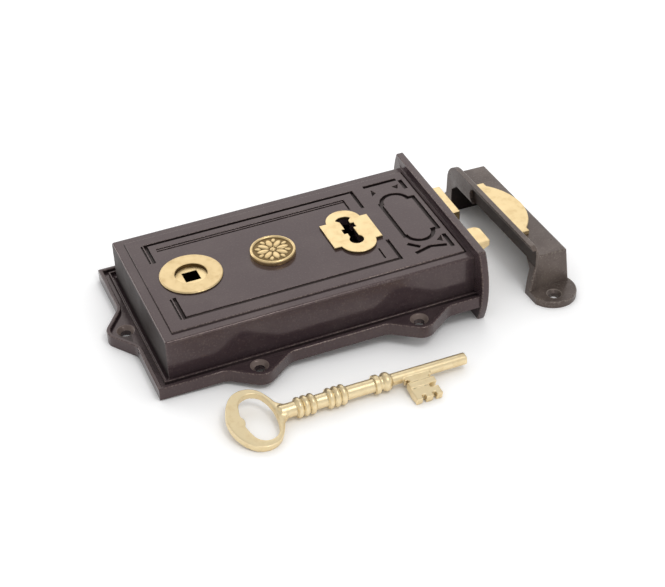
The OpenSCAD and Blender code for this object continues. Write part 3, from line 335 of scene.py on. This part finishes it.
def onForend(a, b):
    if min(a.x, b.x) < case["halfL"] - slack:
        return False
    if near(a.x, case["halfL"]) and near(b.x, case["halfL"]):
        return True
    inOpening = (max(abs(a.y), abs(b.y)) < case["boltsHalfW"]
                 and min(a.z, b.z) > case["boltsLow"] and max(a.z, b.z) < case["boltsHigh"])
    return not inOpening


def onPanelEdge(p):
    return near(p.x, case["panelLeft"]) or near(p.x, case["panelRight"]) or near(abs(p.y), case["panelHalfW"])


def onPanelStep(a, b):
    return level(a, b, case["panel"]) and onPanelEdge(a) and onPanelEdge(b)


def onNearStep(a, b):
    return onPanelStep(a, b) and max(a.y, b.y) < case["nearStep"]


def onGroove(a, b):
    if level(a, b, case["top"]):
        return near(a.x, case["channel"]) and near(b.x, case["channel"])
    return level(a, b, case["panel"]) and not onPanelStep(a, b)


# painted shade: the grooves, the left wall that faces away from the light, and the flange channel are darkened
def caseShade(c, n):
    overPanel = abs(c.y) < case["panelHalfW"] + slack and case["panelLeft"] - slack < c.x < case["channel"] + slack
    inGroove = overPanel and case["grooveLow"] < c.z < case["grooveHigh"]
    if inGroove and not (abs(n.z) > facing and near(c.z, case["top"])):
        return case["grooveShade"]
    if n.x < -facing and near(c.x, -case["halfL"]) and c.z > case["rim"]:
        return case["leftWallShade"]
    outside = abs(c.y) > case["halfW"] or c.x < -case["halfL"]
    inFlange = outside and case["flangeTop"] < c.z < case["ridge"] - slack and c.x < case["halfL"] - slack
    return case["flangeShade"] if inFlange and (n.z > facing or abs(n.z) < case["wallLean"]) else 0.0


def screwHole(c, n):
    low, high = case["screwSlope"]
    return case["screwBare"] if c.z < case["lugTop"] and low < n.z < high else 0.0


caseEases = [
    (onBox, *case["outerEase"]),
    (onForend, *case["forendEase"]),
    (onNearStep, *case["nearStepEase"]),
    (onPanelStep, *case["stepEase"]),
    (onGroove, *case["grooveEase"]),
    (lambda a, b: level(a, b, case["rim"]), *case["rimEase"]),
    (lambda a, b: level(a, b, case["ridge"]), *case["ridgeEase"]),
]
lockCase = softCopy("lock_case", "castCase", iron, caseEases, hollow=caseShade, lightening=screwHole)
stands(lockCase, "lock", "lacquered_iron", "lock_case")
print("case done:", len(lockCase.data.polygons), "faces")

# keep: lip, box and lugs, cast in one, in its own frame: X from the lip's front, Y along it, Z up
keep = {
    "lip": 3.4, "mouthTop": 21.0, "mouthFrom": 3, "mouthTo": 93, "farEnd": 95.0, "lugTop": 4.0, "shortest": 0.3,
    "rivetAt": 8.4, "rivetsAt": (29.0, 65.0), "rivetReach": 1.8,
    "screwAt": 11.5, "screwsAt": (-8.0, 102.0), "screwReach": 5,
    "cuspFrom": 60.0, "cuspTo": 88.0, "cuspTop": 23.0,
    "innerFrom": 2, "innerTo": 93, "innerDepth": 22.6, "ceiling": 22.6, "flatFace": 0.99,
    "hollowFrom": 0.3, "hollowTo": 72, "hollowFacing": 0.5,
    # eases as (width, segments, share of lighter edge, partly worn and partly painted highlight)
    "bodyEase": (0.8, 3, 0.45), "lipEase": (0.22, 2, 0.45), "mouthEase": (0.4, 2, 0.4), "screwEase": (0.25, 2, 0.6),
    "endShade": 0.97, "innerShade": 0.6, "hollowShade": 0.65,
}


def inKeepMouth(a, b):
    within = all(keep["mouthFrom"] < p.y < keep["mouthTo"] for p in (a, b))
    return within and max(a.x, b.x) < keep["lip"] + slack and max(a.z, b.z) < keep["mouthTop"] + slack


def atLipEnd(a, b):
    return max(a.y, b.y) < slack and max(a.x, b.x) < keep["lip"] + slack and max(a.z, b.z) > keep["mouthTop"]


def atFront(a, b):
    return near(a.x, 0) and near(b.x, 0)


def onLipFace(a, b):
    pastMouth = min(a.z, b.z) > keep["mouthTop"] - slack or min(a.y, b.y) > keep["farEnd"] or max(a.y, b.y) < slack
    return atFront(a, b) and pastMouth


def inCusp(a, b):
    # where the hollow's round end runs into the mouth's top edge, too narrow to ease
    return min(a.y, b.y) > keep["cuspFrom"] and max(a.y, b.y) < keep["cuspTo"] and min(a.z, b.z) < keep["cuspTop"]


def atRivet(p):
    reach = keep["rivetReach"]
    return near(p.x, keep["rivetAt"], reach) and any(near(p.y, along, reach) for along in keep["rivetsAt"])


def atScrew(p):
    reach = keep["screwReach"]
    return near(p.x, keep["screwAt"], reach) and any(near(p.y, along, reach) for along in keep["screwsAt"])


def onKeep(a, b):
    aboveFloor = max(a.z, b.z) > slack and (a - b).length > keep["shortest"]
    return aboveFloor and not (inKeepMouth(a, b) or atRivet(a) or atScrew(a))


def onLip(a, b):
    return atLipEnd(a, b) or onLipFace(a, b)


# painted shade: the inside of the box seen through the mouth, and the hollow under the lip's top edge, are darkened
def keepShade(c, n):
    inside = slack < c.x < keep["innerDepth"] and keep["innerFrom"] < c.y < keep["innerTo"] and c.z < keep["ceiling"]
    if inside and abs(n.z) < keep["flatFace"]:
        return keep["endShade"] if n.y < -facing else keep["innerShade"]
    inHollow = (keep["hollowFrom"] < c.x < keep["lip"] - slack and 0 < c.y < keep["hollowTo"]
                and c.z > keep["mouthTop"] - slack and n.x < -keep["hollowFacing"])
    return keep["hollowShade"] if inHollow else 0.0


keepEases = [
    (lambda a, b: onKeep(a, b) and not onLip(a, b), *keep["bodyEase"]),
    (lambda a, b: onKeep(a, b) and onLip(a, b) and not inCusp(a, b), *keep["lipEase"]),
    (lambda a, b: inKeepMouth(a, b) and atFront(a, b) and not onLipFace(a, b), *keep["mouthEase"]),
    (lambda a, b: atScrew(a) and min(a.z, b.z) > keep["lugTop"] - slack, *keep["screwEase"]),
]
keepBox = softCopy("keep_box", "castKeep", keepIron, keepEases, keepPlace, keepShade)
stands(keepBox, "keep", "lacquered_iron", "keep_box")
print("keep done:", len(keepBox.data.polygons), "faces")

# brass pieces with filed edges, with painted shade on their side walls and on the bolt's near face: where each is
# eased, in mm, and its share of painted shade
brassEdge = {
    "segments": 3, "collarAbove": 29.7, "plateAbove": 30.9, "followerAbove": 28.0,
    "latchPast": 86.4, "latchTip": 100, "boltPast": 90, "wallLean": 0.2,
    "collarShade": 0.9, "plateShade": 0.8, "followerShade": 1.0, "boltShade": 0.85,
}


def filedAbove(height):
    return lambda a, b: min(a.z, b.z) > height


# painted shade on every upright wall of the piece
def shadedWall(share):
    return lambda c, n: share if abs(n.z) < brassEdge["wallLean"] else 0.0


def onLatch(a, b):
    return min(a.x, b.x) > brassEdge["latchPast"] or max(a.x, b.x) > brassEdge["latchTip"]


def onBolt(a, b):
    return max(a.x, b.x) > brassEdge["boltPast"]


# painted shade on the bolt head's near face
def shadedBolt(c, n):
    return brassEdge["boltShade"] if n.y < -facing else 0.0


brassPieces = {  # piece, body, finish, width of the ease in mm, edges eased, painted shade
    "spindle_collar": ("turnedCollar", "lock", turnedBrass, 0.3,
                       filedAbove(brassEdge["collarAbove"]), shadedWall(brassEdge["collarShade"])),
    "escutcheon": ("keyholePlate", "lock", brass, 0.3,
                   filedAbove(brassEdge["plateAbove"]), shadedWall(brassEdge["plateShade"])),
    "follower": ("spindleFollower", "follower", brass, 0.2,
                 filedAbove(brassEdge["followerAbove"]), shadedWall(brassEdge["followerShade"])),
    "latch_head": ("latchHead", "latch", brass, 0.4, onLatch, None),
    "dead_bolt_head": ("deadBoltHead", "dead_bolt", brass, 0.45, onBolt, shadedBolt),
    "keep_strike": ("strikePlate", "keep", brass, 0.45, lambda a, b: not atRivet(a), None),
}
for node, (name, body, finish, width, where, darkening) in brassPieces.items():
    place = keepPlace if node == "keep_strike" else None
    piece = softCopy(node, name, finish, [(where, width, brassEdge["segments"], 0.0)], place, darkening)
    stands(piece, body, "satin_brass", node)
print("brass pieces done")

# key: a soft casting, so the solid is remeshed and its steps are rounded off
keyCast = {
    "along": 34.4, "across": -94.1, "turn": 2.9, "lift": 5.5, "roll": 10.56,
    "voxelMm": 0.32, "smoothing": 6, "smoothFactor": 0.5, "joinAt": 29.5, "joinL": 6.0, "joinSmoothing": 70,
    "creaseFrom": 0.03, "creaseTo": 0.13, "creaseMost": 0.85,
}
keyPlace = (surface @ Matrix.Translation((keyCast["along"], keyCast["across"], 0))
            @ Matrix.Rotation(math.radians(keyCast["turn"]), 4, "Z")
            @ Matrix.Translation((0, 0, keyCast["lift"])) @ Matrix.Rotation(math.radians(keyCast["roll"]), 4, "X"))
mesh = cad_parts["key"].data.copy()
mesh.name = "castKey"
bm = bmesh.new()
bm.from_mesh(mesh)
bmesh.ops.remove_doubles(bm, verts=bm.verts, dist=softening["merge"] * mm)
bm.to_mesh(mesh)
bm.free()
keyPiece = linkPiece(mesh, "castKey", paleBrass)
skin = keyPiece.modifiers.new("skin", "REMESH")
skin.mode, skin.voxel_size, skin.use_smooth_shade = "VOXEL", keyCast["voxelMm"] * mm, True
rounding = keyPiece.modifiers.new("rounding", "SMOOTH")
rounding.factor, rounding.iterations = keyCast["smoothFactor"], keyCast["smoothing"]
applyModifiers(keyPiece)
join = keyPiece.vertex_groups.new(name="join")  # where the bow runs into the shank
toKey = keyPlace.inverted()
for v in keyPiece.data.vertices:
    away = abs((toKey @ (v.co / mm)).x - keyCast["joinAt"]) / keyCast["joinL"]
    if away < 1:
        join.add([v.index], 1 - away * away, "REPLACE")
blend = keyPiece.modifiers.new("blend", "SMOOTH")
blend.factor, blend.iterations, blend.vertex_group = keyCast["smoothFactor"], keyCast["joinSmoothing"], "join"
applyModifiers(keyPiece)
keyPiece.vertex_groups.clear()
keyPiece.data.shade_smooth()
bm = bmesh.new()
bm.from_mesh(keyPiece.data)
shadeAndPatina = bm.verts.layers.float.new("shadeAndPatina")
creaseSpan = keyCast["creaseTo"] - keyCast["creaseFrom"]
for v in bm.verts:  # how far the skin around a point stands above it tells the creases, which are darkened as painted shade
    around = sum((e.other_vert(v).co for e in v.link_edges), Vector()) / max(len(v.link_edges), 1)
    depth = (around - v.co).dot(v.normal) / (keyCast["voxelMm"] * mm)
    v[shadeAndPatina] = min(max((depth - keyCast["creaseFrom"]) / creaseSpan, 0), keyCast["creaseMost"])
bm.to_mesh(keyPiece.data)
bm.free()
stands(keyPiece, "key", "satin_brass", "key")
print("key done:", len(keyPiece.data.polygons), "faces")

# medallion: turned disc with a rosette and a ring of beads, laid out by Geometry Nodes
rosette = {
    "x": -10.0, "base": 25.2, "panel": 29.6, "top": 32.6, "radius": 12.4, "rim": 1.7, "field": 0.9, "spigot": 3.0,
    "foot": (0.2, 0.25), "steps": 96, "crease": 50,
    # the rim's curve: in from the edge, down from the top
    "rimCurve": ((0.0, 0.7), (0.15, 0.3), (0.5, 0.06), (0.8, 0.0), (1.1, 0.1), (1.55, 0.45)),
    "petals": 8, "petalAt": 5.6, "petalL": 3.4, "petalW": 1.75, "leafAt": 8.1, "leafL": 1.9, "leafW": 1.2,
    "beads": 12, "beadAt": 2.5, "beadR": 0.45, "boss": 1.7, "bossLift": 0.88, "lift": 0.78, "leafShare": 0.8,
    "fineness": 4,
}
patina = {"full": 31.72, "clear": 32.25, "share": 0.88, "upTheRim": 0.2}  # fades between two heights in mm


def lathe(profile, steps, at):
    bm = bmesh.new()
    rings = []
    angles = [2 * math.pi * k / steps for k in range(steps)]
    for radius, z in profile:
        if radius == 0:
            rings.append([bm.verts.new((at[0], at[1], z * mm))])
        else:
            rings.append([bm.verts.new((at[0] + radius * mm * math.cos(angle),
                                        at[1] + radius * mm * math.sin(angle), z * mm)) for angle in angles])
    for low, high in zip(rings, rings[1:]):
        for k in range(steps):
            n = (k + 1) % steps
            corners = [low[k % len(low)], low[n % len(low)], high[n % len(high)], high[k % len(high)]]
            bm.faces.new(list(dict.fromkeys(corners)))
    bmesh.ops.recalc_face_normals(bm, faces=bm.faces)
    mesh = bpy.data.meshes.new("turned")
    bm.to_mesh(mesh)
    bm.free()
    return mesh


r = rosette
fieldZ = r["top"] - r["field"]
discProfile = [(0, r["base"]), (r["spigot"], r["base"]), (r["spigot"], r["panel"]),
               (r["radius"] - r["foot"][0], r["panel"]), (r["radius"], r["panel"] + r["foot"][1])]
discProfile += [(r["radius"] - inset, r["top"] - down) for inset, down in r["rimCurve"]]
discProfile += [(r["radius"] - r["rim"], fieldZ), (0, fieldZ)]
disc = linkPiece(lathe(discProfile, r["steps"], (r["x"] * mm, 0)), "rosetteMedallion", agedBrass)

tree = bpy.data.node_groups.new("rosetteRelief", "GeometryNodeTree")
tree.interface.new_socket("Geometry", in_out="INPUT", socket_type="NodeSocketGeometry")
sockets = {}
for label, kind in [("Centre", "Vector"), ("Petals", "Int"), ("Petal At", "Float"), ("Petal Size", "Vector"),
                    ("Leaf At", "Float"), ("Leaf Size", "Vector"), ("Beads", "Int"), ("Bead At", "Float"),
                    ("Bead Radius", "Float"), ("Boss", "Vector"), ("Material", "Material")]:
    sockets[label] = tree.interface.new_socket(label, in_out="INPUT", socket_type="NodeSocket" + kind).identifier
tree.interface.new_socket("Geometry", in_out="OUTPUT", socket_type="NodeSocketGeometry")
given = addNode(tree, "NodeGroupInput")
ball = addNode(tree, "GeometryNodeMeshIcoSphere", values={"Radius": 1.0, "Subdivisions": r["fineness"]})


def ringOf(count, radius, size, turned):
    # points on a circle, each with a scaled ball whose long side lies along the radius
    circle = addNode(tree, "GeometryNodeMeshCircle",
                     links={"Vertices": given.outputs[count], "Radius": given.outputs[radius]})
    spot = addNode(tree, "GeometryNodeInputPosition")
    parts = addNode(tree, "ShaderNodeSeparateXYZ", links={"Vector": spot.outputs["Position"]})
    angle = addNode(tree, "ShaderNodeMath", settings={"operation": "ARCTAN2"},
                    links={0: parts.outputs["Y"], 1: parts.outputs["X"]})
    turn = addNode(tree, "ShaderNodeCombineXYZ", links={"Z": angle.outputs["Value"]})
    copies = addNode(tree, "GeometryNodeInstanceOnPoints",
                     links={"Points": circle.outputs["Mesh"], "Instance": ball.outputs["Mesh"],
                            "Rotation": turn.outputs["Vector"], "Scale": size})
    if not turned:
        return copies.outputs["Instances"]
    # half a step round, so that these stand between the others
    shift = addNode(tree, "ShaderNodeMath", settings={"operation": "DIVIDE"}, values={0: math.pi},
                    links={1: given.outputs[count]})
    spin = addNode(tree, "ShaderNodeCombineXYZ", links={"Z": shift.outputs["Value"]})
    moved = addNode(tree, "GeometryNodeTransform",
                    links={"Geometry": copies.outputs["Instances"], "Rotation": spin.outputs["Vector"]})
    return moved.outputs["Geometry"]


petals = ringOf("Petals", "Petal At", given.outputs["Petal Size"], False)
leaves = ringOf("Petals", "Leaf At", given.outputs["Leaf Size"], True)
beadSize = addNode(tree, "ShaderNodeCombineXYZ", links={axis: given.outputs["Bead Radius"] for axis in "XYZ"})
beads = ringOf("Beads", "Bead At", beadSize.outputs["Vector"], False)
boss = addNode(tree, "GeometryNodeTransform",
               links={"Geometry": ball.outputs["Mesh"], "Scale": given.outputs["Boss"]})
relief = addNode(tree, "GeometryNodeJoinGeometry")
for part in (petals, leaves, beads, boss.outputs["Geometry"]):
    tree.links.new(part, relief.inputs["Geometry"])
moved = addNode(tree, "GeometryNodeTransform",
                links={"Geometry": relief.outputs["Geometry"], "Translation": given.outputs["Centre"]})
whole = addNode(tree, "GeometryNodeJoinGeometry")
tree.links.new(moved.outputs["Geometry"], whole.inputs["Geometry"])
tree.links.new(given.outputs["Geometry"], whole.inputs["Geometry"])
solid = addNode(tree, "GeometryNodeRealizeInstances", links={"Geometry": whole.outputs["Geometry"]})
painted = addNode(tree, "GeometryNodeSetMaterial",
                  links={"Geometry": solid.outputs["Geometry"], "Material": given.outputs["Material"]})
addNode(tree, "NodeGroupOutput", links={"Geometry": painted.outputs["Geometry"]})
layout = disc.modifiers.new("rosette", "NODES")
layout.node_group = tree
for label, value in {
    "Centre": (r["x"] * mm, 0.0, fieldZ * mm), "Petals": r["petals"], "Petal At": r["petalAt"] * mm,
    "Petal Size": (r["petalL"] * mm, r["petalW"] * mm, r["lift"] * mm), "Leaf At": r["leafAt"] * mm,
    "Leaf Size": (r["leafL"] * mm, r["leafW"] * mm, r["lift"] * r["leafShare"] * mm),
    "Beads": r["beads"], "Bead At": r["beadAt"] * mm, "Bead Radius": r["beadR"] * mm,
    "Boss": (r["boss"] * mm, r["boss"] * mm, r["bossLift"] * mm), "Material": agedBrass,
}.items():
    layout[sockets[label]] = value
applyModifiers(disc)
disc.data.shade_smooth()
disc.data.set_sharp_from_angle(angle=math.radians(r["crease"]))
darkening = disc.data.attributes.new("shadeAndPatina", "FLOAT", "POINT")
fieldRadius = r["radius"] - r["rim"] + patina["upTheRim"]
for v in disc.data.vertices:  # patina left in the sunk field, by depth
    depth = (patina["clear"] - v.co.z / mm) / (patina["clear"] - patina["full"])
    inField = math.hypot(v.co.x / mm - r["x"], v.co.y / mm) < fieldRadius
    darkening.data[v.index].value = patina["share"] * min(max(depth, 0), 1) if inField else 0.0
stands(disc, "lock", "satin_brass", "medallion")
print("medallion done:", len(disc.data.polygons), "faces")

# inner works and the back stay as their solids, in their own finishes
brassInside = ("back_bush", "latch_rivets", "dead_bolt_rivets", "strike_rivets")
for node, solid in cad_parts.items():
    solid.data.materials.clear()
    solid.data.materials.append(brass if node in brassInside else steel)
print("inner works finished")

# white paper floor, lifted for the eye and for reflections, less so where the pieces close it in, which paints a
# contact shadow
paper = {
    "colour": "#FAFAFA", "shaded": "#F4F4F4", "lift": 0.3, "closeMm": 32.0, "fade": 1.5,
    "size": 20.0, "underMm": 0.02,
}
paperMaterial, t = newMaterial("whitePaper")
path = addNode(t, "ShaderNodeLightPath")
looking = addNode(t, "ShaderNodeMath", settings={"operation": "MAXIMUM"},
                  links={0: path.outputs["Is Camera Ray"], 1: path.outputs["Is Glossy Ray"]})
looking = addNode(t, "ShaderNodeMath", settings={"operation": "MAXIMUM"},
                  links={0: looking.outputs["Value"], 1: path.outputs["Is Transmission Ray"]})
sheet = addNode(t, "ShaderNodeBsdfDiffuse", values={"Color": hexLinear(paper["colour"])})
shade = addNode(t, "ShaderNodeBsdfDiffuse", values={"Color": hexLinear(paper["shaded"])})
# painted shade: ambient occlusion dims the floor's glow near the pieces
openness = addNode(t, "ShaderNodeAmbientOcclusion", values={"Distance": paper["closeMm"] * mm})
faded = addNode(t, "ShaderNodeMath", settings={"operation": "POWER"}, values={1: paper["fade"]},
                links={0: openness.outputs["AO"]})
lifted = addNode(t, "ShaderNodeMath", settings={"operation": "MULTIPLY"}, values={1: paper["lift"]},
                 links={0: faded.outputs["Value"]})
glow = addNode(t, "ShaderNodeEmission", values={"Color": (1, 1, 1, 1)}, links={"Strength": lifted.outputs["Value"]})
seen = addNode(t, "ShaderNodeAddShader", links={0: shade.outputs["BSDF"], 1: glow.outputs["Emission"]})
both = addNode(t, "ShaderNodeMixShader",
               links={0: looking.outputs["Value"], 1: sheet.outputs["BSDF"], 2: seen.outputs["Shader"]})
addNode(t, "ShaderNodeOutputMaterial", links={"Surface": both.outputs["Shader"]})
half = paper["size"] / 2
lower = Vector((0, 0, -paper["underMm"] * mm))
pivot = Vector((rest["pivotX"] * mm, 0, 0))
corners = [(-half, -half, 0), (half, -half, 0), (half, half, 0), (-half, half, 0)]
floorMesh = bpy.data.meshes.new("paperFloor")
floorMesh.from_pydata([surface.to_3x3() @ (Vector(c) + lower) + pivot for c in corners], [], [(0, 1, 2, 3)])
floor = linkPiece(floorMesh, "paperFloor", paperMaterial)

# light: a room that is white at the horizon and dimmer overhead, and soft boxes
room = {"horizon": 1.0, "overhead": 0.58, "low": 0.15, "high": 0.5, "aim": (0, -0.02, 0)}
softBoxes = {  # place, width and height in metres, brightness
    "backBox": ((0.22, 0.85, 0.72), (1.2, 0.75), 0.92),
    "topBox": ((0.20, -0.50, 0.95), (0.3, 0.3), 9.0),
    "rimBox": ((-0.67, 0.81, 0.31), (0.35, 0.35), 2.7),
}
world = bpy.data.worlds.new("studio")
scene.world = world
world.use_nodes = True
t = world.node_tree
t.nodes.clear()
place = addNode(t, "ShaderNodeTexCoord")
split = addNode(t, "ShaderNodeSeparateXYZ", links={"Vector": place.outputs["Generated"]})
dimming = addNode(t, "ShaderNodeMapRange", settings={"interpolation_type": "SMOOTHSTEP"},
                  values={"From Min": room["low"], "From Max": room["high"],
                          "To Min": room["horizon"], "To Max": room["overhead"]},
                  links={"Value": split.outputs["Z"]})
sky = addNode(t, "ShaderNodeBackground", values={"Color": (1, 1, 1, 1)}, links={"Strength": dimming.outputs["Result"]})
addNode(t, "ShaderNodeOutputWorld", links={"Surface": sky.outputs["Background"]})
for name, (at, size, brightness) in softBoxes.items():
    lamp = bpy.data.lights.new(name, "AREA")
    lamp.shape, lamp.size, lamp.size_y = "RECTANGLE", size[0], size[1]
    lamp.energy = brightness * math.pi * size[0] * size[1]
    box = bpy.data.objects.new(name, lamp)
    box.location = at
    box.rotation_euler = (Vector(room["aim"]) - Vector(at)).to_track_quat("-Z", "Y").to_euler()
    scene.collection.objects.link(box)

# camera at the photo's place: position in metres, its three directions, lens and sensor in mm
view = {
    "at": (-0.2364, -0.6832, 0.5566), "right": (0.9239, -0.3808, -0.0360), "up": (0.2598, 0.5554, 0.7900),
    "forward": (0.2808, 0.7392, -0.6121), "lens": 89.72, "sensor": 36.0, "clip": (0.01, 20.0),
}
lens = bpy.data.cameras.new("photoCamera")
lens.lens, lens.sensor_width, lens.sensor_fit = view["lens"], view["sensor"], "HORIZONTAL"
lens.clip_start, lens.clip_end = view["clip"]
camera = bpy.data.objects.new("photoCamera", lens)
axes = Matrix((view["right"], view["up"], [-c for c in view["forward"]])).transposed()
camera.matrix_world = Matrix.Translation(view["at"]) @ axes.to_4x4()
scene.collection.objects.link(camera)
scene.camera = camera
print("stage, light and camera set")
